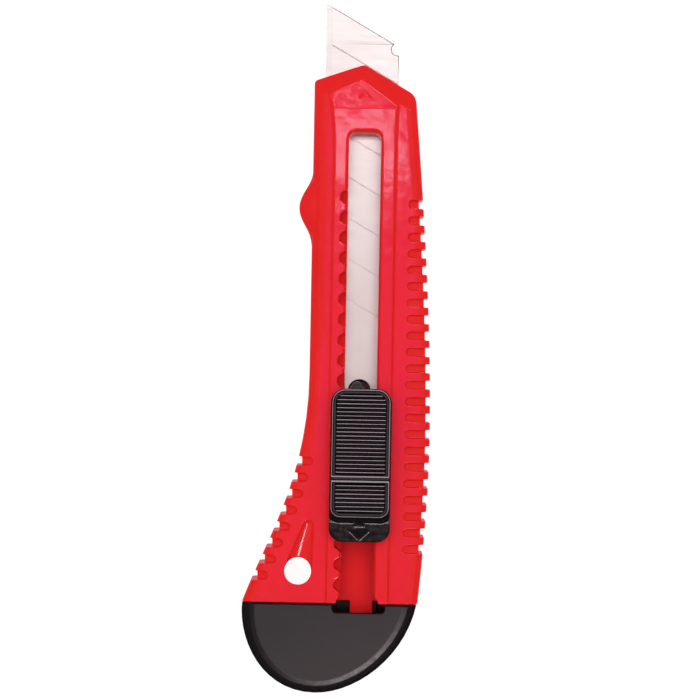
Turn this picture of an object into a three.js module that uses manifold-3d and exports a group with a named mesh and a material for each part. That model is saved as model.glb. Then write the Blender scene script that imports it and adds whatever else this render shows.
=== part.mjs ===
// Snap-off utility knife: a moulded housing with a D-shaped end cap, and a slider that carries
// an 18 mm segmented blade. Millimetres. +Y runs along the blade to its tip, +Z points out of the
// front face, and the flat back lies on z = 0. While it is drawn, x = 0 is the blade's centre
// line and y = 0 is the joint between housing and cap; the finished group is centred at the end.

import * as THREE from 'three';
import { mergeVertices } from 'three/addons/utils/BufferGeometryUtils.js';
import Module from 'manifold-3d';

const wasm = await Module();
wasm.setup();

// ---------------------------------------------------------------- driving dimensions

const CLEARANCE = 0.3;              // gap between neighbouring pieces
const BEYOND = 40;                  // how far a cutter reaches past what it cuts
const CURVE_STEPS = 14;             // straight steps in one curved stretch of an outline

const THICKNESS = 12;               // housing, back face to front plateau
const SIDE_X = -11.65;              // straight left side of the housing
const NOSE_PEAK = [0.5, 132.3];
const NOSE_LEFT = [SIDE_X, 128.2];
const NOSE_RIGHT = [13.35, 124.9];
const BELLY = [18.22, 41];          // widest point of the right side
const REAR_LEFT = [-27.2, 0];
const REAR_RIGHT = [15.9, 0];
const BUMP = { top: 106, peak: 96.9, bottom: 86.5, x: -14.89 };   // finger stop
const LOBE_TOP = 56;                // where the left side starts to swing out to the lobe

const PLATEAU_LEFT = -6.8;
const PLATEAU_RIGHT = 8.8;
const PLATEAU_FLARE = { left: -8.4, right: 9.5, start: 111, bend: 120, end: 126 };   // at the nose
const PLATEAU_STEP = 0.45;          // width of the sloped step round the plateau
const SHOULDER_Z = 11.5;            // flat on both sides of the plateau
const SHOULDER_EDGE = { width: 2.5, height: 1.6, segments: 4 };   // rounded outer edge
const STOP_DROP = 2.4;              // how far the finger stop falls to its edge
const NOSE_BEVEL = { width: 5, height: 2.6 };
const NOSE_CREASE = { y: 121.3, fall: 0.1 };   // beyond it the plateau dips towards the nose
const BACK_CHAMFER = 1;
const REAR_EXTENSION = 8;           // bevels run past the rear end by this much before the trim
const REAR_SLOPE = { left: 0.36, right: 0.1 };   // how the sides run on there, x over y

const CHANNEL = { halfWidth: 9.4, floor: 4.4, ceiling: 6.6 };
const SLOT = { left: -2.95, right: 4.95, top: 114.95, radius: 1.8 };
const SLOT_FLARE = { width: 0.5, height: 0.6 };   // softened front edge of the slot
const SLOT_LEAN = 0.13;             // angle by which the slot's end wall leans outwards
const SLOT_MOUTH = { spread: 1.2, start: 2.4, end: 0.4 };

const DETENT = { first: 99.36, pitch: 5, count: 20, depth: 1.85, height: 3.85, floor: 8, rise: 0.55 };

const GRIP_PITCH = 4.03;
const NOTCH = { height: 2.2, depth: 1.1 };
const POCKET = { height: 2, length: 11, front: 0.8, back: 0.5 };   // front and back are depths
const RIGHT_GRIP = { first: 98.1, count: 22, pocketX: 11.9, tilt: 0.14 };
const LEFT_GRIP = { first: 34.7, count: 8, pocketInset: 3.9, tilt: 0.25 };

const LANYARD = { x: -13.63, y: 7.65, radius: 3.28, backRadius: 4.5, waist: 11 };
const TEARDROP = { tipX: -11.2, tipY: 19, tipRadius: 1.25, margin: 0.15, flatness: 0.42 };
const NOSE_ARROW = { x: 0.78, base: 124.1, height: 1.3, halfWidth: 0.95, groove: 0.3, floor: 11.4 };

const TONGUE = { left: -0.7, right: 4.95, bottom: 2.6, length: 8 };
const CAP_TAB = { bottom: 3.2, top: 8.8 };        // tabs that hold the cap by friction
const LEFT_TAB = { left: -21, right: -12, length: 6 };
const RIGHT_TAB = { left: 9.9, right: 11.8, length: 3.5 };

const CAP_DEPTH = -22.4;            // lowest point of the cap
const CAP_LOWEST_X = -8.9;
const CAP_FACE = 12;
const CAP_RIM = 3.2;                // rounded edge round the cap's front
const CAP_BACK_RIM = 1.6;
const CAP_WALL = 2.2;
const CAP_NOTCH = { left: -5.05, right: 7.85, depth: 2.3, radius: 1.1 };
const CAP_COVER = 8;                // the outline runs this far past the joint before the trim
const CAP_RIB = { width: 0.8, length: 9 };

const BLADE = { width: 18, length: 100, thickness: 0.5, tipY: 147.6, z: 6.05 };
const GROUND_EDGE = 1.5;            // width of the sharpened bevel
const EDGE_LAND = 0.06;             // thickness left at the cutting edge
const SCORE = { first: 138.3, pitch: 10, count: 7, width: 0.26, depth: 0.06 };
const BLADE_SLANT = Math.PI / 6;
const TAIL_HOLE = { x: 0.7, y: 52.1, radius: 2.7 };
const TAIL_CORNER = 2;
const SNAP_NOTCH = { y: 136.6, radius: 1.5, inset: 0.35, step: 1.2, length: 3.4 };

const SLIDER_X = 1.25;              // centre line of the slider's front parts
const RUNNER = { halfWidth: 9.1, bottom: 4.7, top: 5.5, rear: 18.2, front: 57 };
const NECK = { rear: 18.2, front: 47.3 };
const PEG = { top: 7.3, facet: 0.9, facetRise: 0.6, facetLean: 0.35, faceAngle: -0.62 };
const REAR_RADIUS = 3.3;            // corners of the slider's plate
const FRONT_RADIUS = 3.4;
const PLATE = { width: 14.9, rear: 15.3, front: 52.5, bottom: 12.3, top: 13.5 };
const TAIL = { top: 15.3, rearTop: 14, front: 22.6, notch: 19.2, notchHalf: 1.2 };
const TAIL_ARROW = { base: 18.2, point: 15.7, halfWidth: 2.55, depth: 0.5 };
const BUTTON = { width: 14.6, rear: 21.2, front: 52.7, bottom: 13.8, rim: 16.1, rearRadius: 2.6 };
const BUTTON_GAP = { rear: 30.4, front: 31.05, floor: 14.4, bar: 0.5 };
const BUTTON_RIM = 0.5;
const BUTTON_GROOVE = 0.75;
const GROOVE_FLOOR = 15.0;
const ROOT = 0.4;                   // how far an upper feature is sunk into the one below
const RIB = { pitch: 0.97, root: 15.4, crest: 16.3, dish: 0.45, foot: 0.06, shoulder: 0.34 };
const BUTTON_TRAVEL = 1;
const STEM = { halfWidth: 0.9, rear: 35, front: 41, bottom: 12.1 };

const SPRING = { x: -1.95, thickness: 0.4, bottom: 9.9, top: 11.5, rear: 27.4, front: 45.8 };
const TOOTH = { x: -4.2, y: 39.36, rear: -2.06, flatRear: -0.46, flatFront: 0.34, front: 1.54 };

// ---------------------------------------------------------------- materials

function plastic(colour, roughness) {
  return new THREE.MeshStandardMaterial({ color: colour, roughness, metalness: 0 });
}

function steel(colour, roughness) {
  return new THREE.MeshStandardMaterial({ color: colour, roughness, metalness: 1 });
}

// ---------------------------------------------------------------- solids

function solid(geometry) {
  geometry.deleteAttribute('normal');
  geometry.deleteAttribute('uv');
  const merged = mergeVertices(geometry, 1e-4);
  return new wasm.Manifold(new wasm.Mesh({
    numProp: 3,
    vertProperties: new Float32Array(merged.attributes.position.array),
    triVerts: new Uint32Array(merged.index.array),
  }));
}

function mesh(name, manifold, material) {
  const data = manifold.getMesh();
  const geometry = new THREE.BufferGeometry();
  geometry.setAttribute('position', new THREE.BufferAttribute(data.vertProperties, 3));
  geometry.setIndex(new THREE.BufferAttribute(data.triVerts, 1));
  geometry.computeVertexNormals();
  const piece = new THREE.Mesh(geometry, material);
  piece.name = name;
  return piece;
}

function prism(shape, bottom, top, steps = CURVE_STEPS) {
  const geometry = new THREE.ExtrudeGeometry(shape, {
    depth: top - bottom, bevelEnabled: false, curveSegments: steps,
  });
  return solid(geometry.translate(0, 0, bottom));
}

// A prism whose outline shrinks by `width` over the last `height` at both ends.
function bevelledPrism(shape, bottom, top, width, height, segments = 1, outset = 0) {
  return solid(bevelledGeometry(shape, bottom, top, width, height, segments, outset));
}

function bevelledGeometry(shape, bottom, top, width, height, segments = 1, outset = 0) {
  const geometry = new THREE.ExtrudeGeometry(shape, {
    depth: top - bottom - 2 * height,
    bevelEnabled: true,
    bevelSize: width,
    bevelThickness: height,
    bevelOffset: outset - width,
    bevelSegments: segments,
    curveSegments: CURVE_STEPS,
  });
  return geometry.translate(0, 0, bottom + height);
}

// A section drawn in x and z, carried along y.
function sweepAlongY(section, rear, front) {
  const geometry = new THREE.ExtrudeGeometry(section, { depth: front - rear, bevelEnabled: false });
  geometry.rotateX(Math.PI / 2);
  return solid(geometry.translate(0, front, 0));
}

// A section drawn in y and z, carried along x.
function sweepAlongX(section, left, right) {
  const geometry = new THREE.ExtrudeGeometry(section, { depth: right - left, bevelEnabled: false });
  geometry.rotateX(Math.PI / 2);
  geometry.rotateZ(Math.PI / 2);
  return solid(geometry.translate(left, 0, 0));
}

function block(left, right, rear, front, bottom, top) {
  const geometry = new THREE.BoxGeometry(right - left, front - rear, top - bottom);
  return solid(geometry.translate((left + right) / 2, (rear + front) / 2, (bottom + top) / 2));
}

function post(x, y, radius, bottom, top, sides = 40) {
  const geometry = new THREE.CylinderGeometry(radius, radius, top - bottom, sides);
  geometry.rotateX(Math.PI / 2);
  return solid(geometry.translate(x, y, (bottom + top) / 2));
}

function union(solids) {
  return solids.reduce((whole, next) => whole.add(next));
}

// ---------------------------------------------------------------- outlines

function polygon(points) {
  return new THREE.Shape(points.map(([x, y]) => new THREE.Vector2(x, y)));
}

// A rectangle with round corners; a radius of 0 leaves that pair of corners square.
function roundedRectangle(left, right, rear, front, rearRadius, frontRadius) {
  const shape = new THREE.Shape();
  const corners = [
    [right, rear, rearRadius, -1, 1],
    [right, front, frontRadius, -1, -1],
    [left, front, frontRadius, 1, -1],
    [left, rear, rearRadius, 1, 1],
  ];
  corners.forEach(([x, y, radius, inX, inY], index) => {
    if (radius === 0) {
      shape.lineTo(x, y);
      return;
    }
    const start = (index - 1) * (Math.PI / 2);
    shape.absarc(x + inX * radius, y + inY * radius, radius, start, start + Math.PI / 2);
  });
  return shape;
}

function bezier(from, control1, control2, to) {
  const points = [from, control1, control2, to].map(([x, y]) => new THREE.Vector2(x, y));
  return new THREE.CubicBezierCurve(...points);
}

const rightRear = bezier(REAR_RIGHT, [16.9, 10], [BELLY[0], 26], BELLY);
const rightFront = bezier(BELLY, [BELLY[0], 69], [15.8, 96.6], [13.5, 122.8]);
const leftLobe = bezier([SIDE_X, LOBE_TOP], [SIDE_X, 30], [-22, 14.5], REAR_LEFT);
const bumpTop = bezier([SIDE_X, BUMP.top], [SIDE_X, 102.5], [BUMP.x, 100.5], [BUMP.x, BUMP.peak]);
const bumpBottom = bezier([BUMP.x, BUMP.peak], [BUMP.x, 93.2], [SIDE_X, 92], [SIDE_X, BUMP.bottom]);

function housingOutline() {
  const shape = new THREE.Shape();
  shape.moveTo(...REAR_LEFT);
  shape.lineTo(...REAR_RIGHT);
  shape.curves.push(rightRear, rightFront);
  shape.currentPoint.copy(rightFront.v3);
  shape.quadraticCurveTo(...NOSE_RIGHT, NOSE_RIGHT[0] - 1.7, NOSE_RIGHT[1] + 0.98);
  shape.lineTo(NOSE_PEAK[0] + 0.8, NOSE_PEAK[1] - 0.46);
  shape.quadraticCurveTo(...NOSE_PEAK, NOSE_PEAK[0] - 0.8, NOSE_PEAK[1] - 0.27);
  shape.lineTo(NOSE_LEFT[0] + 0.8, NOSE_LEFT[1] + 0.27);
  shape.quadraticCurveTo(...NOSE_LEFT, NOSE_LEFT[0], NOSE_LEFT[1] - 0.9);
  shape.lineTo(SIDE_X, BUMP.top);
  shape.curves.push(bumpTop, bumpBottom);
  shape.currentPoint.copy(bumpBottom.v3);
  shape.lineTo(SIDE_X, LOBE_TOP);
  shape.curves.push(leftLobe);
  shape.currentPoint.copy(leftLobe.v3);
  return shape;
}

// The same outline with sharp nose corners, no finger stop and a longer rear end, so that its
// edges can be bevelled cleanly; the true outline trims it afterwards.
function sharpOutline() {
  const shape = new THREE.Shape();
  shape.moveTo(REAR_LEFT[0] - REAR_SLOPE.left * REAR_EXTENSION, -REAR_EXTENSION);
  shape.lineTo(REAR_RIGHT[0] - REAR_SLOPE.right * REAR_EXTENSION, -REAR_EXTENSION);
  shape.lineTo(...REAR_RIGHT);
  shape.curves.push(rightRear, rightFront);
  shape.currentPoint.copy(rightFront.v3);
  shape.lineTo(...NOSE_RIGHT);
  shape.lineTo(...NOSE_PEAK);
  shape.lineTo(...NOSE_LEFT);
  shape.lineTo(SIDE_X, LOBE_TOP);
  shape.curves.push(leftLobe);
  shape.currentPoint.copy(leftLobe.v3);
  return shape;
}

// The x of a curve where it crosses the height y; the curve runs one way in y.
function xAt(curve, y) {
  let low = 0;
  let high = 1;
  const rising = curve.v3.y > curve.v0.y;
  for (let step = 0; step < 30; step += 1) {
    const middle = (low + high) / 2;
    if ((curve.getPoint(middle).y < y) === rising) {
      low = middle;
    } else {
      high = middle;
    }
  }
  return curve.getPoint(low).x;
}

function rightEdgeAt(y) {
  return xAt(y < BELLY[1] ? rightRear : rightFront, y);
}

function leftEdgeAt(y) {
  return xAt(leftLobe, y);
}

// ---------------------------------------------------------------- housing

function plateauOutline() {
  const shape = new THREE.Shape();
  const { left, right, start, bend, end } = PLATEAU_FLARE;
  shape.moveTo(PLATEAU_RIGHT, -BEYOND);
  shape.lineTo(PLATEAU_RIGHT, start);
  shape.quadraticCurveTo(PLATEAU_RIGHT, bend, right, end);
  shape.lineTo(right, NOSE_PEAK[1]);
  shape.lineTo(left, NOSE_PEAK[1]);
  shape.lineTo(left, end);
  shape.quadraticCurveTo(PLATEAU_LEFT, bend, PLATEAU_LEFT, start);
  shape.lineTo(PLATEAU_LEFT, -BEYOND);
  return shape;
}

// The finger stop: a block whose top curves down to the hump's outline, starting at a crease.
function fingerStop() {
  const length = BUMP.top - BUMP.bottom;
  const start = Math.PI / 4;
  const inner = SIDE_X + SHOULDER_EDGE.width;
  const geometry = new THREE.BoxGeometry(1, length, 1, 8, 24, 1);
  geometry.translate(0.5, length / 2 + BUMP.bottom, 0.5);
  const place = geometry.attributes.position;
  for (let index = 0; index < place.count; index += 1) {
    const turn = start * (2 - place.getX(index));
    const outward = (Math.sin(turn) - Math.sin(start)) / (1 - Math.sin(start));
    const drop = (Math.cos(start) - Math.cos(turn)) / Math.cos(start);
    const y = place.getY(index);
    const edge = xAt(y > BUMP.peak ? bumpTop : bumpBottom, y);
    place.setX(index, inner - (inner - edge) * outward);
    place.setZ(index, place.getZ(index) * (SHOULDER_Z - STOP_DROP * drop));
  }
  return solid(geometry);
}

function housingBody() {
  const sharp = sharpOutline();
  const { width, height, segments } = SHOULDER_EDGE;
  const shoulders = bevelledPrism(sharp, -BEYOND, SHOULDER_Z, width, height, segments);
  const plateau = bevelledPrism(plateauOutline(), -BEYOND, THICKNESS, PLATEAU_STEP,
    THICKNESS - SHOULDER_Z);
  const backEdge = bevelledPrism(sharp, 0, BEYOND, BACK_CHAMFER, BACK_CHAMFER);
  const stopBack = bevelledPrism(housingOutline(), 0, BEYOND, BACK_CHAMFER / 2, BACK_CHAMFER / 2);
  const body = shoulders.add(plateau).intersect(backEdge).add(fingerStop().intersect(stopBack));
  return body.intersect(prism(housingOutline(), 0, THICKNESS));
}

// The plane that bevels one edge of the nose, as a wedge lying along that edge.
function noseWedge(from, to) {
  const dx = to[0] - from[0];
  const dy = to[1] - from[1];
  const length = Math.hypot(dx, dy);
  const low = THICKNESS - NOSE_BEVEL.height;
  const rise = NOSE_BEVEL.height / NOSE_BEVEL.width;
  const reach = 8;
  const section = polygon([
    [-NOSE_BEVEL.width - reach, THICKNESS + rise * reach],
    [reach, low - rise * reach],
    [reach, THICKNESS + BEYOND],
    [-NOSE_BEVEL.width - reach, THICKNESS + BEYOND],
  ]);
  const geometry = new THREE.ExtrudeGeometry(section, { depth: length + 2 * reach, bevelEnabled: false });
  geometry.translate(0, 0, -reach);
  geometry.applyMatrix4(new THREE.Matrix4().makeBasis(
    new THREE.Vector3(-dy / length, dx / length, 0),
    new THREE.Vector3(0, 0, 1),
    new THREE.Vector3(dx / length, dy / length, 0),
  ));
  return solid(geometry.translate(from[0], from[1], 0));
}

function creaseCutter() {
  const length = 15;
  return sweepAlongX(polygon([
    [NOSE_CREASE.y, THICKNESS],
    [NOSE_CREASE.y + length, THICKNESS - NOSE_CREASE.fall * length],
    [NOSE_CREASE.y + length, THICKNESS + BEYOND],
    [NOSE_CREASE.y, THICKNESS + BEYOND],
  ]), -BEYOND, BEYOND);
}

function slotOutline(margin) {
  const left = SLOT.left - margin;
  const right = SLOT.right + margin;
  const radius = SLOT.radius + margin;
  return roundedRectangle(left, right, -BEYOND, SLOT.top + margin, 0, radius);
}

// The slot's passage and softened front edge, leaning by an angle about the foot of its end wall.
function slotPassage(lean) {
  const { width, height } = SLOT_FLARE;
  const parts = [
    new THREE.ExtrudeGeometry(slotOutline(0), {
      depth: THICKNESS + 2 - CHANNEL.ceiling, bevelEnabled: false, curveSegments: CURVE_STEPS,
    }).translate(0, 0, CHANNEL.ceiling),
    bevelledGeometry(slotOutline(width), THICKNESS - height, THICKNESS + 4, width, height),
  ];
  return union(parts.map((geometry) => solid(geometry
    .translate(0, -SLOT.top, -CHANNEL.ceiling)
    .rotateX(-lean)
    .translate(0, SLOT.top, CHANNEL.ceiling))));
}

function slotCutter() {
  const below = prism(slotOutline(0), CHANNEL.floor, CHANNEL.ceiling + 1);
  const { spread, start, end } = SLOT_MOUTH;
  const mouth = prism(polygon([
    [SLOT.left - spread, -1],
    [SLOT.right + spread, -1],
    [SLOT.right + spread, end],
    [SLOT.right, start],
    [SLOT.left, start],
    [SLOT.left - spread, end],
  ]), CHANNEL.ceiling, THICKNESS + 2);
  return union([below, slotPassage(0), slotPassage(SLOT_LEAN), mouth]);
}

function detentOutline(y) {
  const half = DETENT.height / 2;
  const bottom = SLOT.left - DETENT.depth;
  const shape = new THREE.Shape();
  shape.moveTo(SLOT.left + 0.5, y - half);
  shape.lineTo(SLOT.left + 0.5, y + half);
  shape.lineTo(SLOT.left, y + half);
  shape.bezierCurveTo(SLOT.left - 1.1, y + half, bottom, y + 1.1, bottom, y + 0.2);
  shape.lineTo(bottom, y - 0.6);
  shape.lineTo(SLOT.left, y - half);
  return shape;
}

// Each detent is a pocket whose floor rises away from the slot.
function detentCutters() {
  const cutters = [];
  const rise = new THREE.Matrix4().makeShear(0, -DETENT.rise, 0, 0, 0, 0);
  for (let index = 0; index < DETENT.count; index += 1) {
    const y = DETENT.first - index * DETENT.pitch;
    const geometry = new THREE.ExtrudeGeometry(detentOutline(y), {
      depth: THICKNESS, bevelEnabled: false, curveSegments: 5,
    });
    geometry.translate(-SLOT.left, 0, 0).applyMatrix4(rise).translate(SLOT.left, 0, DETENT.floor);
    cutters.push(solid(geometry));
  }
  return union(cutters);
}

// A shallow pocket with a round inner end, open towards the edge, rising from z = 0.
function pocketGeometry(towards) {
  const radius = POCKET.height / 2;
  const shape = new THREE.Shape();
  shape.moveTo(radius, -radius);
  shape.lineTo(POCKET.length, -radius);
  shape.lineTo(POCKET.length, radius);
  shape.lineTo(radius, radius);
  shape.absarc(radius, 0, radius, Math.PI / 2, 1.5 * Math.PI);
  const geometry = new THREE.ExtrudeGeometry(shape, { depth: 6, bevelEnabled: false, curveSegments: 8 });
  return towards < 0 ? geometry.rotateZ(Math.PI) : geometry;
}

// Each grip is a square notch through the edge, with a pocket on the front and one on the back.
function gripCutters(grip, edgeAt, side) {
  const cutters = [];
  const half = NOTCH.height / 2;
  for (let index = 0; index < grip.count; index += 1) {
    const y = grip.first - index * GRIP_PITCH;
    const edge = edgeAt(y);
    const bottom = edge - side * NOTCH.depth;
    const outside = edge + side * POCKET.length;
    const innerX = grip.pocketX ?? edge - side * grip.pocketInset;
    const frontPocket = pocketGeometry(side).rotateY(side * grip.tilt)
      .translate(innerX, y, SHOULDER_Z - POCKET.front);
    const backPocket = pocketGeometry(side).rotateX(Math.PI).translate(innerX, y, POCKET.back);
    cutters.push(block(Math.min(bottom, outside), Math.max(bottom, outside), y - half, y + half,
      -1, THICKNESS + 1));
    cutters.push(solid(frontPocket), solid(backPocket));
  }
  return union(cutters);
}

// A trough that widens from its round tip to the hole, shaped like a flattened cone lying down.
function teardropCutter() {
  const from = new THREE.Vector3(LANYARD.x, LANYARD.y, 0);
  const to = new THREE.Vector3(TEARDROP.tipX, TEARDROP.tipY, 0);
  const wide = LANYARD.radius + TEARDROP.margin;
  const narrow = TEARDROP.tipRadius;
  const length = from.distanceTo(to);
  const lean = (wide - narrow) / length;
  const cone = new THREE.CylinderGeometry(narrow, wide, length, 48);
  cone.translate(0, lean * (wide + narrow) / 2, 0);
  cone.rotateZ(Math.atan2(to.y - from.y, to.x - from.x) - Math.PI / 2);
  cone.translate((from.x + to.x) / 2, (from.y + to.y) / 2, 0);
  const tip = new THREE.SphereGeometry(narrow, 32, 24).translate(to.x, to.y, 0);
  const parts = [cone, tip].map((geometry) => {
    geometry.scale(1, 1, TEARDROP.flatness);
    return solid(geometry.translate(0, 0, SHOULDER_Z));
  });
  return union(parts);
}

function lanyardCutters() {
  const front = post(LANYARD.x, LANYARD.y, LANYARD.radius, LANYARD.waist - 0.1, THICKNESS + 1, 48);
  const drafted = new THREE.CylinderGeometry(LANYARD.radius, LANYARD.backRadius, LANYARD.waist + 1, 48);
  drafted.rotateX(Math.PI / 2);
  drafted.translate(LANYARD.x, LANYARD.y, (LANYARD.waist - 1) / 2);
  return union([front, solid(drafted), teardropCutter()]);
}

// A triangle set off by a groove round it.
function noseArrow() {
  const [outer, inner] = [NOSE_ARROW.groove, 0].map((margin) => prism(polygon([
    [NOSE_ARROW.x - NOSE_ARROW.halfWidth - 2 * margin, NOSE_ARROW.base - margin],
    [NOSE_ARROW.x + NOSE_ARROW.halfWidth + 2 * margin, NOSE_ARROW.base - margin],
    [NOSE_ARROW.x, NOSE_ARROW.base + NOSE_ARROW.height + 1.5 * margin],
  ]), NOSE_ARROW.floor, THICKNESS + 1));
  return outer.subtract(inner);
}

function housing() {
  const tongue = block(TONGUE.left, TONGUE.right, -TONGUE.length, 1, TONGUE.bottom, CHANNEL.floor);
  const tabs = [LEFT_TAB, RIGHT_TAB].map((tab) => (
    block(tab.left, tab.right, -tab.length, 1, CAP_TAB.bottom, CAP_TAB.top)));
  const channel = block(-CHANNEL.halfWidth, CHANNEL.halfWidth, -BEYOND, 150, CHANNEL.floor, CHANNEL.ceiling);
  const cutters = union([
    noseWedge(NOSE_LEFT, NOSE_PEAK),
    noseWedge(NOSE_PEAK, NOSE_RIGHT),
    creaseCutter(),
    channel,
    slotCutter(),
    detentCutters(),
    gripCutters(RIGHT_GRIP, rightEdgeAt, 1),
    gripCutters(LEFT_GRIP, leftEdgeAt, -1),
    lanyardCutters(),
    noseArrow(),
  ]);
  const body = union([housingBody(), tongue, ...tabs]).subtract(cutters);
  return mesh('housing', body, plastic(0xe02b38, 0.38));
}

// ---------------------------------------------------------------- end cap

function capOutline() {
  const shape = new THREE.Shape();
  shape.moveTo(REAR_RIGHT[0] + 0.9, CAP_COVER);
  shape.lineTo(REAR_LEFT[0] + 1.5, CAP_COVER);
  shape.lineTo(...REAR_LEFT);
  shape.bezierCurveTo(REAR_LEFT[0] - 1, -9.5, -22.2, CAP_DEPTH, CAP_LOWEST_X, CAP_DEPTH);
  shape.bezierCurveTo(1, CAP_DEPTH, 13.2, -13.5, REAR_RIGHT[0] - 0.1, 0);
  return shape;
}

function endCap() {
  const outline = capOutline();
  const front = bevelledPrism(outline, -BEYOND, CAP_FACE, CAP_RIM, CAP_RIM, 4);
  const back = bevelledPrism(outline, 0, BEYOND, CAP_BACK_RIM, CAP_BACK_RIM, 3);
  const inside = bevelledPrism(outline, CAP_WALL, CAP_FACE - CAP_WALL, 0.4, 0.4, 1, -CAP_WALL);
  const aboveJoint = block(-BEYOND, BEYOND, -CLEARANCE, BEYOND, -1, THICKNESS + 1);
  const notch = prism(roundedRectangle(CAP_NOTCH.left, CAP_NOTCH.right, -CAP_NOTCH.depth, 6,
    CAP_NOTCH.radius, CAP_NOTCH.radius), CHANNEL.ceiling, CAP_FACE + 1, 6);
  const ribLeft = TONGUE.right + CLEARANCE;
  const rib = block(ribLeft, ribLeft + CAP_RIB.width, -CAP_RIB.length, -CLEARANCE, CAP_WALL - ROOT,
    CHANNEL.floor - 0.1);
  const shell = front.intersect(back).subtract(inside).subtract(aboveJoint).subtract(notch);
  return mesh('end_cap', shell.add(rib), plastic(0x2c2628, 0.5));
}

// ---------------------------------------------------------------- blade

function bladeOutline() {
  const half = BLADE.width / 2;
  const drop = BLADE.width * Math.tan(BLADE_SLANT);
  const tail = BLADE.tipY - BLADE.length;
  return polygon([
    [-half, BLADE.tipY],
    [-half, tail],
    [half - TAIL_CORNER, tail],
    [half, tail + TAIL_CORNER],
    [half, BLADE.tipY - drop],
  ]);
}

function scoreCutter(y) {
  const run = BLADE.width - GROUND_EDGE + 2;
  const half = SCORE.width / 2;
  const section = polygon([[-half, 0.001], [0, -SCORE.depth], [half, 0.001], [0, 0.5]]);
  const cutter = new THREE.ExtrudeGeometry(section, {
    depth: run / Math.cos(BLADE_SLANT), bevelEnabled: false,
  });
  cutter.rotateX(Math.PI / 2);
  cutter.rotateZ(Math.PI / 2 - BLADE_SLANT);
  const startX = -BLADE.width / 2 + GROUND_EDGE;
  const startY = y - GROUND_EDGE * Math.tan(BLADE_SLANT);
  return solid(cutter.translate(startX, startY, BLADE.z + BLADE.thickness / 2));
}

function blade() {
  const half = BLADE.width / 2;
  const flat = BLADE.thickness / 2;
  const land = EDGE_LAND / 2;
  const section = polygon([
    [-half, BLADE.z - land],
    [-half + GROUND_EDGE, BLADE.z - flat],
    [half, BLADE.z - flat],
    [half, BLADE.z + flat],
    [-half + GROUND_EDGE, BLADE.z + flat],
    [-half, BLADE.z + land],
  ]);
  const strip = sweepAlongY(section, BLADE.tipY - BLADE.length, BLADE.tipY);
  const cutters = [
    post(TAIL_HOLE.x, TAIL_HOLE.y, TAIL_HOLE.radius, 0, THICKNESS),
    post(half - SNAP_NOTCH.inset, SNAP_NOTCH.y, SNAP_NOTCH.radius, 0, THICKNESS, 24),
    block(half - SNAP_NOTCH.step, half + 1, SNAP_NOTCH.y, SNAP_NOTCH.y + SNAP_NOTCH.length, 0, THICKNESS),
  ];
  for (let index = 0; index < SCORE.count; index += 1) {
    cutters.push(scoreCutter(SCORE.first - index * SCORE.pitch));
  }
  const whole = strip.intersect(prism(bladeOutline(), 0, THICKNESS));
  return mesh('blade', whole.subtract(union(cutters)), steel(0xe6dedd, 0.3));
}

// ---------------------------------------------------------------- slider

function sliderOutline(part, rearRadius, frontRadius, margin = 0) {
  const half = part.width / 2 + margin;
  return roundedRectangle(SLIDER_X - half, SLIDER_X + half, part.rear - margin, part.front + margin,
    rearRadius + margin, frontRadius + margin);
}

function buttonOutline(margin) {
  return sliderOutline(BUTTON, BUTTON.rearRadius, FRONT_RADIUS, margin);
}

function tailBlock() {
  const whole = prism(sliderOutline(PLATE, REAR_RADIUS, FRONT_RADIUS), PLATE.top - 0.1, TAIL.top);
  const behind = sweepAlongX(polygon([
    [PLATE.rear - 1, 0],
    [TAIL.front, 0],
    [TAIL.front, TAIL.top],
    [BUTTON.rear - BUTTON_TRAVEL, TAIL.top],
    [PLATE.rear - 1, TAIL.rearTop],
  ]), -BEYOND, BEYOND);
  const hollow = prism(buttonOutline(BUTTON_TRAVEL + 0.2), PLATE.top, BEYOND);
  const notch = block(SLIDER_X - TAIL.notchHalf, SLIDER_X + TAIL.notchHalf, TAIL.notch, TAIL.front,
    PLATE.top, BEYOND);
  const arrow = prism(polygon([
    [SLIDER_X - TAIL_ARROW.halfWidth, TAIL_ARROW.base],
    [SLIDER_X, TAIL_ARROW.point],
    [SLIDER_X + TAIL_ARROW.halfWidth, TAIL_ARROW.base],
  ]), TAIL.rearTop - TAIL_ARROW.depth, BEYOND);
  return whole.intersect(behind).subtract(union([hollow, notch, arrow]));
}

// The peg that stands in the blade's hole; one side of its top is cut away to a sloping facet.
function bladePeg() {
  const radius = TAIL_HOLE.radius - CLEARANCE;
  const peg = post(TAIL_HOLE.x, TAIL_HOLE.y, radius, RUNNER.top - 0.1, PEG.top, 32);
  const cut = new THREE.BoxGeometry(BEYOND, BEYOND, BEYOND);
  cut.translate(BEYOND / 2, 0, BEYOND / 2);
  cut.rotateY(PEG.facetLean);
  cut.translate(PEG.facet, 0, RUNNER.top + PEG.facetRise);
  cut.rotateZ(-PEG.faceAngle);
  return peg.subtract(solid(cut.translate(TAIL_HOLE.x, TAIL_HOLE.y, 0)));
}

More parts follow.
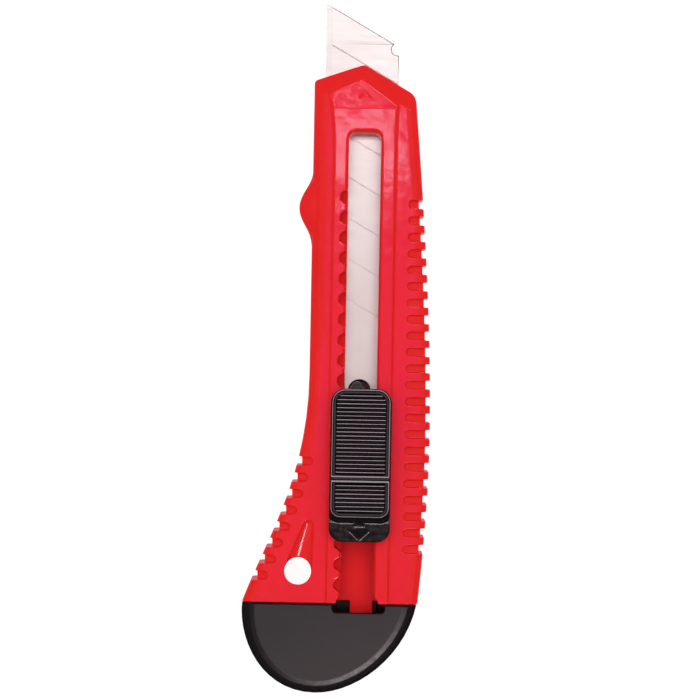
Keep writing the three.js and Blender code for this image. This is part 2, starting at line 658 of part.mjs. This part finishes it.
function sliderBase() {
  const left = SLOT.left + CLEARANCE;
  const right = SLOT.right - CLEARANCE;
  const runner = prism(roundedRectangle(-RUNNER.halfWidth, RUNNER.halfWidth, RUNNER.rear,
    RUNNER.front, 1, 4), RUNNER.bottom, RUNNER.top, 6);
  const neck = block(left, right, NECK.rear, NECK.front, RUNNER.top - 0.1, PLATE.bottom + 0.1);
  const plate = prism(sliderOutline(PLATE, REAR_RADIUS, FRONT_RADIUS), PLATE.bottom, PLATE.top, 8);
  const slack = BUTTON_TRAVEL + CLEARANCE;
  const window = block(SLIDER_X - STEM.halfWidth - CLEARANCE, SLIDER_X + STEM.halfWidth + CLEARANCE,
    STEM.rear - slack, STEM.front + slack, STEM.bottom - CLEARANCE, BEYOND);
  const springRoom = block(left - 1, SPRING.x + 0.6, SPRING.rear - 0.5, SPRING.front + 0.5,
    SPRING.bottom - CLEARANCE, SPRING.top + CLEARANCE);
  const body = union([runner, bladePeg(), neck, plate, tailBlock()]).subtract(window).subtract(springRoom);
  return mesh('slider_base', body, plastic(0x2a2426, 0.45));
}

// The ribbed field of the button: a row of ridges along y, dished in the middle for the thumb.
function ribbedField(rear, front) {
  const count = Math.round((front - rear) / RIB.pitch);
  const pitch = (front - rear) / count;
  const middle = (rear + front) / 2;
  const crestAt = (y) => RIB.crest - RIB.dish * Math.cos((Math.PI * (y - middle)) / (front - rear));
  const section = new THREE.Shape();
  section.moveTo(rear, GROOVE_FLOOR - ROOT);
  section.lineTo(rear, RIB.root);
  for (let index = 0; index < count; index += 1) {
    const start = rear + index * pitch;
    const crest = crestAt(start + pitch / 2);
    section.lineTo(start + RIB.foot * pitch, RIB.root);
    section.lineTo(start + RIB.shoulder * pitch, crest);
    section.lineTo(start + (1 - RIB.shoulder) * pitch, crest);
    section.lineTo(start + (1 - RIB.foot) * pitch, RIB.root);
  }
  section.lineTo(front, RIB.root);
  section.lineTo(front, GROOVE_FLOOR - ROOT);
  return sweepAlongX(section, SLIDER_X - BUTTON.width / 2, SLIDER_X + BUTTON.width / 2);
}

function thumbButton() {
  const inset = BUTTON_RIM + BUTTON_GROOVE;
  const { rear, front, floor, bar } = BUTTON_GAP;
  const whole = prism(buttonOutline(0), BUTTON.bottom, BUTTON.rim, 8);
  const gap = block(-BEYOND, BEYOND, rear, front, floor, BEYOND);
  const groove = prism(buttonOutline(-BUTTON_RIM), GROOVE_FLOOR, BEYOND, 8);
  const field = prism(buttonOutline(-inset), GROOVE_FLOOR - ROOT, BEYOND, 8);
  const bars = block(-BEYOND, BEYOND, rear - bar, front + bar, 0, BEYOND).intersect(whole);
  const ribs = union([
    ribbedField(BUTTON.rear + inset, rear - bar - CLEARANCE),
    ribbedField(front + bar + CLEARANCE, BUTTON.front - inset),
  ]).intersect(field);
  const stem = block(SLIDER_X - STEM.halfWidth, SLIDER_X + STEM.halfWidth, STEM.rear, STEM.front,
    STEM.bottom, BUTTON.bottom + 0.1);
  const body = union([whole.subtract(groove), bars, ribs, stem]).subtract(gap);
  return mesh('thumb_button', body, plastic(0x2a2426, 0.45));
}

function detentSpring() {
  const path = [
    [SPRING.x, SPRING.rear],
    [SPRING.x, TOOTH.y + TOOTH.rear],
    [TOOTH.x, TOOTH.y + TOOTH.flatRear],
    [TOOTH.x, TOOTH.y + TOOTH.flatFront],
    [SPRING.x, TOOTH.y + TOOTH.front],
    [SPRING.x, SPRING.front],
  ];
  const half = SPRING.thickness / 2;
  const rightSide = path.map(([x, y]) => [x + half, y]);
  const leftSide = path.map(([x, y]) => [x - half, y]).reverse();
  const leaf = prism(polygon([...rightSide, ...leftSide]), SPRING.bottom, SPRING.top);
  return mesh('detent_spring', leaf, steel(0xb9bcc0, 0.35));
}

// ---------------------------------------------------------------- assembly

const knife = new THREE.Group();
knife.add(housing(), endCap(), blade(), sliderBase(), thumbButton(), detentSpring());
const box = new THREE.Box3().setFromObject(knife);
const centre = box.getCenter(new THREE.Vector3());
knife.position.set(-centre.x, -centre.y, -box.min.z);

export default knife;
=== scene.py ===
"""Looks for the snap-off utility knife: a glossy red moulded housing, a satin black cap, a polished
black slider and a ground steel blade, seen straight from the front on a white light table."""

import math

import bmesh
import bpy
import numpy as np
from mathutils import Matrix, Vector


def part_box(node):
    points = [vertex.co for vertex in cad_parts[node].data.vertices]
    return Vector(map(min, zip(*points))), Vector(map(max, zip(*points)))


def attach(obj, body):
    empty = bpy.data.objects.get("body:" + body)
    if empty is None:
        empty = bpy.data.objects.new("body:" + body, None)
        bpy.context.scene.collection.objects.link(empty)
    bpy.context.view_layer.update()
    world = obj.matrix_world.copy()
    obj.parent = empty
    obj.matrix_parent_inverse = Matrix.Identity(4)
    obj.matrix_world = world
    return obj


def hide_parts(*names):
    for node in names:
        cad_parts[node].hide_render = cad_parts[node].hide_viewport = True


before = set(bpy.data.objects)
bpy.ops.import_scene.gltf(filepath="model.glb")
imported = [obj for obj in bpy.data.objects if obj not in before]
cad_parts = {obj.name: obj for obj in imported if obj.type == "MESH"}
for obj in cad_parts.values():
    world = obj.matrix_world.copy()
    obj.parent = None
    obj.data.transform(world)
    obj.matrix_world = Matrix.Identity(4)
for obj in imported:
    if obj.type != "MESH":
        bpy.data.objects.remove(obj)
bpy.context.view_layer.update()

MM = 0.001

# ---------------------------------------------------------------- places, from the frame

TONGUE_LENGTH = 8 * MM          # how far the housing reaches into the cap
FRONT_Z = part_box("housing")[1][2]
JOINT_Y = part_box("housing")[0][1] + TONGUE_LENGTH
BLADE_X = (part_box("blade")[0][0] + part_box("blade")[1][0]) / 2

# ---------------------------------------------------------------- camera

VIEW_CENTRE = Vector((BLADE_X - 1.78 * MM, JOINT_Y + 62.1 * MM, 0))
VIEW_HEIGHT = 550 * MM          # from the housing's front face
VIEW_WIDTH = 171.3 * MM         # of the picture, on the housing's front face
VIEW_ROLL = math.radians(1.05)
SENSOR = 36.0


def make_camera():
    data = bpy.data.cameras.new("camera")
    data.sensor_width = SENSOR
    data.lens = SENSOR * VIEW_HEIGHT / VIEW_WIDTH
    data.clip_start = 0.01
    data.clip_end = 10.0
    camera = bpy.data.objects.new("camera", data)
    camera.location = (VIEW_CENTRE.x, VIEW_CENTRE.y, FRONT_Z + VIEW_HEIGHT)
    camera.rotation_euler = (0, 0, VIEW_ROLL)
    bpy.context.scene.collection.objects.link(camera)
    bpy.context.scene.camera = camera


# ---------------------------------------------------------------- light and floor

WORLD_COLOUR = (1, 0.96, 0.97, 1)
WORLD_STRENGTH = 0.42
FLOOR_SIZE = 6
FLOOR_GAP = 0.2 * MM
FLOOR_ALBEDO = 0.2
FLOOR_GLOW = 0.93

WHITE = (1, 1, 1)
ROSE_WHITE = (1, 0.82, 0.88)

# Each group holds the pieces whose glossy surfaces mirror the same reflectors.
RECEIVERS = {name: bpy.data.collections.new("lit_" + name)
             for name in ("red", "button", "slider", "cap", "steel")}

# Each row: name, the group that mirrors it (None for a light that nothing mirrors), place from the
# view's centre and size in metres, radiance, tint.
LIGHTS = [
    ("key", None, (0, 0.15, 0.9), (1.2, 1.2), 1.72, WHITE),
    ("red_high", "red", (0, 0.125, 0.62), (0.26, 0.35), 0.95, (1, 0.0, 0.68)),
    ("red_low", "red", (0, -0.16, 0.62), (0.26, 0.22), 0.65, (1, 0.0, 0.5)),
    ("red_softbox", "red", (-0.005, 0.104, 0.57), (0.062, 0.042), 8.0, (0.5, 0.7, 0.85)),
    ("red_tip_softbox", "red", (-0.004, 0.244, 0.57), (0.018, 0.008), 15.0, (0.6, 0.7, 0.85)),
    ("red_edge_strip", "red", (0.10, 0.43, 0.55), (0.36, 0.06), 16.0, (1, 0.9, 0.95)),
    ("red_bulb", "red", (0.10, -0.25, 0.60), (0.07, 0.07), 20.0, WHITE),
    ("red_table_glow", "red", (0, 0, 0.0002), (0.6, 0.6), 0.6, (1, 0.45, 0.55)),
    ("button_reflector", "button", (0, 0.0, 0.62), (0.30, 0.30), 2.4, (1, 0.80, 0.88)),
    ("button_strip", "button", (0, 0.20, 0.60), (0.34, 0.10), 5.0, ROSE_WHITE),
    ("slider_reflector", "slider", (0, 0.0, 0.62), (0.30, 0.30), 0.2, (1, 0.75, 0.85)),
    ("slider_strip_high", "slider", (0, 0.22, 0.60), (0.34, 0.12), 12.0, ROSE_WHITE),
    ("slider_strip_low", "slider", (0, -0.24, 0.60), (0.34, 0.06), 6.0, ROSE_WHITE),
    ("slider_strip_left", "slider", (-0.26, 0, 0.58), (0.08, 0.36), 9.0, ROSE_WHITE),
    ("slider_strip_right", "slider", (0.26, 0, 0.58), (0.08, 0.36), 9.0, ROSE_WHITE),
    ("cap_reflector", "cap", (0, -0.16, 0.62), (0.30, 0.24), 0.6, (1, 0.86, 0.90)),
    ("cap_strip", "cap", (0.12, -0.32, 0.50), (0.26, 0.10), 12.0, (1, 0.85, 0.88)),
    ("steel_reflector", "steel", (0, 0.015, 0.62), (1.40, 0.57), 0.67, (1, 0.95, 0.96)),
    ("steel_tip", "steel", (0, 0.21, 0.60), (1.00, 0.12), 2.8, (0.88, 1, 1)),
]


def make_area(name, group, place, size, radiance, tint):
    """A soft rectangular light that faces the knife: down from above it, up from the table.

    A light with a group is a reflector, seen only in that group's glossy surfaces. One without
    lights everything, and no surface mirrors it.
    """
    data = bpy.data.lights.new(name, "AREA")
    data.shape = "RECTANGLE"
    data.size, data.size_y = size
    data.color = tint
    data.energy = radiance * math.pi * size[0] * size[1]
    light = bpy.data.objects.new(name, data)
    light.location = VIEW_CENTRE + Vector(place)
    if place[2] < FRONT_Z:
        light.rotation_euler = (math.pi, 0, 0)
    light.visible_camera = False
    light.visible_diffuse = group is None
    light.visible_glossy = group is not None
    if group is not None:
        light.light_linking.receiver_collection = RECEIVERS[group]
    bpy.context.scene.collection.objects.link(light)


def make_world():
    world = bpy.data.worlds.new("studio")
    world.use_nodes = True
    background = world.node_tree.nodes["Background"]
    background.inputs["Color"].default_value = WORLD_COLOUR
    background.inputs["Strength"].default_value = WORLD_STRENGTH
    world.cycles_visibility.glossy = False
    bpy.context.scene.world = world


def make_floor():
    bpy.ops.mesh.primitive_grid_add(x_subdivisions=2, y_subdivisions=2, size=FLOOR_SIZE)
    floor = bpy.context.object
    floor.name = "floor"
    floor.visible_glossy = False
    floor.location = (0, 0, -FLOOR_GAP)
    material = bpy.data.materials.new("light_table")
    material.use_nodes = True
    shader = material.node_tree.nodes["Principled BSDF"]
    shader.inputs["Base Color"].default_value = (FLOOR_ALBEDO, FLOOR_ALBEDO, FLOOR_ALBEDO, 1)
    shader.inputs["Roughness"].default_value = 1.0
    shader.inputs["Specular IOR Level"].default_value = 0.0
    shader.inputs["Emission Color"].default_value = (1, 1, 1, 1)
    shader.inputs["Emission Strength"].default_value = FLOOR_GLOW
    floor.data.materials.append(material)


# ---------------------------------------------------------------- materials

class Nodes:
    """A short way to write a material's node tree."""

    def __init__(self, name):
        self.material = bpy.data.materials.new(name)
        self.material.use_nodes = True
        self.tree = self.material.node_tree
        self.shader = self.tree.nodes["Principled BSDF"]

    def add(self, kind, inputs=None, **settings):
        node = self.tree.nodes.new(kind)
        for key, value in settings.items():
            setattr(node, key, value)
        for key, value in (inputs or {}).items():
            if isinstance(value, bpy.types.NodeSocket):
                self.tree.links.new(value, node.inputs[key])
            else:
                node.inputs[key].default_value = value
        return node

    def link(self, output, name):
        self.tree.links.new(output, self.shader.inputs[name])

    def set(self, name, value):
        self.shader.inputs[name].default_value = value

    def noise(self, scale, detail=2.0, roughness=0.5, stretch=(1, 1, 1)):
        """Noise in the piece's own coordinates; scale is in waves per metre."""
        place = self.add("ShaderNodeTexCoord").outputs["Object"]
        mapping = self.add("ShaderNodeMapping", {"Vector": place, "Scale": stretch})
        node = self.add("ShaderNodeTexNoise", {
            "Vector": mapping.outputs["Vector"], "Scale": scale, "Detail": detail,
            "Roughness": roughness})
        return node.outputs["Fac"]

    def map_range(self, value, source, target):
        node = self.add("ShaderNodeMapRange", {
            "Value": value, "From Min": source[0], "From Max": source[1],
            "To Min": target[0], "To Max": target[1]})
        return node.outputs["Result"]

    def spread(self, noise, low, high):
        """Maps the middle of a noise onto a range."""
        return self.map_range(noise, (0.3, 0.7), (low, high))

    def maths(self, operation, first, second):
        return self.add("ShaderNodeMath", {0: first, 1: second}, operation=operation).outputs[0]

    def z_of(self, coordinates):
        """The Z of the piece's own place ("Object") or surface direction ("Normal")."""
        vector = self.add("ShaderNodeTexCoord").outputs[coordinates]
        return self.add("ShaderNodeSeparateXYZ", {"Vector": vector}).outputs["Z"]

    def by_height(self, heights, values):
        """A value that changes from the first to the second between two heights in the piece."""
        return self.map_range(self.z_of("Object"), heights, values)

    def by_steepness(self, flatness, values):
        """A value that changes from steep to flat surfaces; flatness is 0 for a wall, 1 for a face."""
        up = self.maths("ABSOLUTE", self.z_of("Normal"), 0)
        return self.map_range(up, flatness, values)

    def mix(self, factor, first, second):
        node = self.add("ShaderNodeMix", data_type="RGBA")
        sockets = [socket for socket in node.inputs if socket.type == "RGBA"]
        self.tree.links.new(factor, node.inputs[0])
        sockets[0].default_value = first
        sockets[1].default_value = second
        return [socket for socket in node.outputs if socket.type == "RGBA"][0]

    def bump(self, height, depth, normal=None):
        """depth is the bump's real height in metres."""
        node = self.add("ShaderNodeBump", {"Height": height, "Distance": depth, "Strength": 1.0})
        if normal is not None:
            self.tree.links.new(normal, node.inputs["Normal"])
        return node.outputs["Normal"]


# Heights between which a plastic's shine changes. Where the shine is turned down, on the housing's
# pocket and slot floors, round the slider's button foot and in the button's grooves, it is painted
# shade.
RECESS_TO_FACE = (8 * MM, 9.5 * MM)             # housing: pocket floors to the outer faces
PEG_TO_NECK = (9 * MM, 12 * MM)                 # slider: the peg's top to the plate's edge
PLATE_TO_TAIL = (13.6 * MM, 13.9 * MM)          # slider: the button's seat to the tail
GROOVE_TO_CREST = (15.45 * MM, 15.75 * MM)      # button: the grooves to the ribs and the rim

BLACK = (0.007, 0.005, 0.006)
CAP_BLACK = (0.013, 0.009, 0.010)


def red_plastic():
    nodes = Nodes("red_moulded_plastic")
    cloud = nodes.spread(nodes.noise(45, 3), 0, 1)
    nodes.link(nodes.mix(cloud, (0.82, 0.020, 0.021, 1), (0.78, 0.018, 0.018, 1)), "Base Color")
    nodes.link(nodes.spread(nodes.noise(600, 4), 0.09, 0.15), "Roughness")
    # Painted shade: the shine is turned down on the pocket floors and the slot floor, below the outer
    # faces.
    nodes.link(nodes.by_height(RECESS_TO_FACE, (0.1, 0.5)), "Specular IOR Level")
    ripple = nodes.bump(nodes.noise(90, 3), 0.22 * MM)
    nodes.link(nodes.bump(nodes.noise(2600, 3), 0.0008 * MM, ripple), "Normal")
    nodes.set("IOR", 1.49)
    nodes.set("Subsurface Weight", 0.2)
    nodes.set("Subsurface Radius", (1.0, 0.12, 0.1))
    nodes.set("Subsurface Scale", 0.8 * MM)
    return nodes.material


def black_plastic(name, base, roughness, grain, ior=1.5):
    """Satin or glossy black plastic; the caller sets how its shine varies."""
    nodes = Nodes(name)
    cloud = nodes.spread(nodes.noise(60, 3), 0, 1)
    darker = tuple(channel * 0.8 for channel in base) + (1,)
    nodes.link(nodes.mix(cloud, base + (1,), darker), "Base Color")
    nodes.link(nodes.spread(nodes.noise(900, 4), roughness - 0.05, roughness + 0.05), "Roughness")
    soft = nodes.bump(nodes.noise(220, 2), 0.01 * MM)
    nodes.link(nodes.bump(nodes.noise(4200, 3), grain, soft), "Normal")
    nodes.set("IOR", ior)
    return nodes


def cap_plastic():
    """Satin on the faces; on the steep sides the shine is turned down by steepness, painted shade that
    darkens the rim.
    """
    nodes = black_plastic("black_cap_plastic", CAP_BLACK, roughness=0.36, grain=0.005 * MM)
    # Painted shade: the shine is turned down on the steep sides, which darkens the rim.
    nodes.link(nodes.by_steepness((0.2, 0.75), (0.1, 0.78)), "Specular IOR Level")
    return nodes.material


def slider_plastic():
    """Shiny on its raised tail and on the peg; on the plate round the button's foot and on the upper
    neck the shine is turned down by height, as painted shade.
    """
    nodes = black_plastic("black_slider_plastic", BLACK, roughness=0.17, grain=0.0006 * MM, ior=1.75)
    # Painted shade: the shine is turned down on the plate round the button's foot and on the upper
    # neck.
    raised = nodes.by_height(PLATE_TO_TAIL, (0.1, 0.9))
    sunk = nodes.by_height(PEG_TO_NECK, (0.9, 0.1))
    nodes.link(nodes.maths("MAXIMUM", raised, sunk), "Specular IOR Level")
    return nodes.material


def button_plastic():
    """Shiny on the ribs' crests and the rim; in the grooves between them the shine is turned down by
    height, as painted shade.
    """
    nodes = black_plastic("black_button_plastic", BLACK, roughness=0.17, grain=0.0006 * MM, ior=1.75)
    # Painted shade: the shine is turned down in the grooves between the ribs.
    nodes.link(nodes.by_height(GROOVE_TO_CREST, (0.12, 0.95)), "Specular IOR Level")
    return nodes.material


def blade_steel():
    nodes = Nodes("ground_blade_steel")
    lines = nodes.noise(700, 4, 0.6, stretch=(0.12, 3.0, 1))
    blotch = nodes.spread(nodes.noise(90, 3), 0, 1)
    nodes.link(nodes.mix(blotch, (0.95, 0.81, 0.80, 1), (0.90, 0.76, 0.75, 1)), "Base Color")
    nodes.link(nodes.spread(lines, 0.38, 0.45), "Roughness")
    nodes.link(nodes.bump(lines, 0.002 * MM), "Normal")
    nodes.set("Metallic", 1.0)
    return nodes.material


def spring_steel():
    nodes = Nodes("bright_spring_steel")
    lines = nodes.noise(1200, 3, 0.5, stretch=(1, 0.1, 1))
    nodes.link(nodes.spread(lines, 0.22, 0.36), "Roughness")
    nodes.link(nodes.bump(lines, 0.003 * MM), "Normal")
    nodes.set("Base Color", (0.55, 0.56, 0.58, 1))
    nodes.set("Metallic", 1.0)
    return nodes.material


# ---------------------------------------------------------------- fine meshes

WELD_MM = 1e-4                  # vertices closer than this are one
FLAT_ANGLE = math.radians(1)    # neighbouring faces within this angle are one flat


def copy_of(node, name):
    piece = bpy.data.objects.new(name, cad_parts[node].data.copy())
    bpy.context.scene.collection.objects.link(piece)
    return piece


def points_of(piece):
    """The mesh's vertices as rows of x, y and z."""
    points = np.empty(len(piece.data.vertices) * 3)
    piece.data.vertices.foreach_get("co", points)
    return points.reshape(-1, 3)


def place_points(piece, points):
    piece.data.vertices.foreach_set("co", points.ravel())


def weld(piece):
    """Joins the vertices that the triangles of a piece scaled up to mm have in common."""
    mesh = bmesh.new()
    mesh.from_mesh(piece.data)
    bmesh.ops.remove_doubles(mesh, verts=mesh.verts, dist=WELD_MM)
    mesh.to_mesh(piece.data)
    mesh.free()


def apply_modifiers(piece):
    depsgraph = bpy.context.evaluated_depsgraph_get()
    mesh = bpy.data.meshes.new_from_object(piece.evaluated_get(depsgraph))
    piece.modifiers.clear()
    old = piece.data
    piece.data = mesh
    bpy.data.meshes.remove(old)


def refined(node, name, voxel_mm, rounding, triangles, shape=None):
    """A fine copy of a CAD node with softly rounded edges, as a moulding has.

    The copy is remeshed with small voxels while it is scaled up to 1 unit per mm, shaped, smoothed
    to round its edges, thinned to a number of triangles and scaled back down.
    """
    piece = copy_of(node, name)
    place_points(piece, points_of(piece) / MM)
    weld(piece)
    remesh = piece.modifiers.new("remesh", "REMESH")
    remesh.mode = "VOXEL"
    remesh.voxel_size = voxel_mm * 1
    apply_modifiers(piece)
    if shape is not None:
        place_points(piece, shape(points_of(piece)))
    smooth = piece.modifiers.new("smooth", "SMOOTH")
    smooth.factor = 0.5
    smooth.iterations = rounding
    thin = piece.modifiers.new("thin", "DECIMATE")
    thin.ratio = min(1.0, triangles / (2 * len(piece.data.polygons)))
    apply_modifiers(piece)
    place_points(piece, points_of(piece) * MM)
    piece.data.materials.clear()
    piece.data.polygons.foreach_set("use_smooth", [True] * len(piece.data.polygons))
    weighted = piece.modifiers.new("weighted_normals", "WEIGHTED_NORMAL")
    weighted.weight = 60
    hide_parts(node)
    return piece


def smooth_step(value):
    """Rises softly from 0 to 1 while the value does, and stays there outside that range."""
    value = np.clip(value, 0, 1)
    return value * value * (3 - 2 * value)


# The housing's left shoulder, in mm: from the groove beside the plateau out to the side, starting
# part of the way up the knife and only near its front face.
SHOULDER_GROOVE_X = -7.1
SHOULDER_WIDTH = 3.4
SHOULDER_START_Y = 58
SHOULDER_FADE_Y = 10
SHOULDER_START_Z = 7
SHOULDER_FADE_Z = 3.5
SHOULDER_SLOPE = 0.044
SHOULDER_CURVE = 0.022


def crown_left_shoulder(points):
    """Rounds the housing's left shoulder off from its groove to the side, as the moulding is."""
    x = points[:, 0] - BLADE_X / MM
    y = points[:, 1] - JOINT_Y / MM
    out = np.clip(SHOULDER_GROOVE_X - x, 0, SHOULDER_WIDTH)
    drop = SHOULDER_SLOPE * out + SHOULDER_CURVE * out ** 2
    along = smooth_step((y - SHOULDER_START_Y) / SHOULDER_FADE_Y)
    near_front = smooth_step((points[:, 2] - SHOULDER_START_Z) / SHOULDER_FADE_Z)
    points[:, 2] -= drop * along * near_front
    return points


# The button's rim, in mm.
RIM_FRONT_RADIUS = 3.4
RIM_REAR_RADIUS = 2.6
RIM_SLOPE = 0.9
RIM_SLOPE_WIDTH = 0.18
RIM_FOOT_Z = 15
RIM_OUTSIDE = 0.12              # how far past the outline a point of the fine mesh may lie


def slope_button_edge(points):
    """Slopes the outer edge of the button's rim, which leaves a fine shiny ridge along it."""
    low, high = [np.array(corner[:2]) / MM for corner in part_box("thumb_button")]
    centre = (low + high) / 2
    radius = np.where(points[:, 1] > centre[1], RIM_FRONT_RADIUS, RIM_REAR_RADIUS)
    past_corner = np.abs(points[:, :2] - centre) - (high - low) / 2 + radius[:, None]
    past_corner = np.clip(past_corner, 0, None)
    inside = radius - np.hypot(past_corner[:, 0], past_corner[:, 1])
    near_top = np.clip(points[:, 2] - RIM_FOOT_Z, 0, 1)
    reach = np.clip(RIM_SLOPE_WIDTH - inside, 0, RIM_SLOPE_WIDTH + RIM_OUTSIDE)
    points[:, 2] -= RIM_SLOPE * reach * near_top
    return points


GROUND_WIDTH = 1.4 * MM         # just short of the sharpened bevel, which gets no chamfer
SCORE_DEPTHS = (0.01 * MM, 0.1 * MM)
WALL = 0.3                      # at most this much up or down: the blade's edge walls
FACE = 0.95                     # at least this much up or down: the blade's faces


def set_score_depth(mesh, depth):
    """Moves the bottoms of the score lines in the front face to a set depth."""
    ground_x = min(vert.co.x for vert in mesh.verts) + GROUND_WIDTH
    face_z = max(vert.co.z for vert in mesh.verts)
    for vert in mesh.verts:
        if vert.co.x > ground_x and SCORE_DEPTHS[0] < face_z - vert.co.z < SCORE_DEPTHS[1]:
            vert.co.z = face_z - depth


def outline_edges(mesh):
    """The edges between the blade's faces and its edge walls, except along the sharpened bevel."""
    ground_x = min(vert.co.x for vert in mesh.verts) + GROUND_WIDTH
    found = []
    for edge in mesh.edges:
        if len(edge.link_faces) != 2 or min(vert.co.x for vert in edge.verts) < ground_x:
            continue
        wall, face = sorted(abs(side.normal.z) for side in edge.link_faces)
        if wall < WALL and face > FACE:
            found.append(edge)
    return found


def chamfered_blade(node, name, width, score_depth):
    """A copy of the blade with a narrow chamfer round its outline and score lines of a set depth."""
    piece = copy_of(node, name)
    mesh = bmesh.new()
    mesh.from_mesh(piece.data)
    bmesh.ops.remove_doubles(mesh, verts=mesh.verts, dist=WELD_MM * MM)
    bmesh.ops.dissolve_limit(mesh, angle_limit=FLAT_ANGLE, verts=mesh.verts, edges=mesh.edges)
    set_score_depth(mesh, score_depth)
    bmesh.ops.bevel(mesh, geom=outline_edges(mesh), offset=width, segments=1, affect="EDGES")
    bmesh.ops.triangulate(mesh, faces=mesh.faces)
    mesh.to_mesh(piece.data)
    mesh.free()
    piece.data.materials.clear()
    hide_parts(node)
    return piece


def finish_piece(piece, body, material, group):
    """Gives a fine piece its material, its body and the reflectors it mirrors."""
    piece.data.materials.append(material)
    RECEIVERS[group].objects.link(piece)
    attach(piece, body)


def dress(node, material, group):
    """Gives a CAD node that stays in view its material."""
    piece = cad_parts[node]
    RECEIVERS[group].objects.link(piece)
    piece.data.materials.clear()
    piece.data.materials.append(material)


# ---------------------------------------------------------------- scene

bpy.context.scene.view_settings.view_transform = "Standard"
make_camera()
make_world()
for light in LIGHTS:
    make_area(*light)
make_floor()

housing = refined("housing", "housing_moulding", voxel_mm=0.14, rounding=4, triangles=195000,
                  shape=crown_left_shoulder)
finish_piece(housing, "housing", red_plastic(), "red")

cap = refined("end_cap", "end_cap_moulding", voxel_mm=0.16, rounding=4, triangles=80000)
finish_piece(cap, "cap", cap_plastic(), "cap")

slider = refined("slider_base", "slider_moulding", voxel_mm=0.1, rounding=7, triangles=120000)
finish_piece(slider, "slider", slider_plastic(), "slider")

button = refined("thumb_button", "thumb_button_moulding", voxel_mm=0.07, rounding=6,
                 triangles=180000, shape=slope_button_edge)
finish_piece(button, "button", button_plastic(), "button")

blade = chamfered_blade("blade", "blade_chamfered", width=0.16 * MM, score_depth=0.03 * MM)
finish_piece(blade, "slider", blade_steel(), "steel")
dress("detent_spring", spring_steel(), "steel")
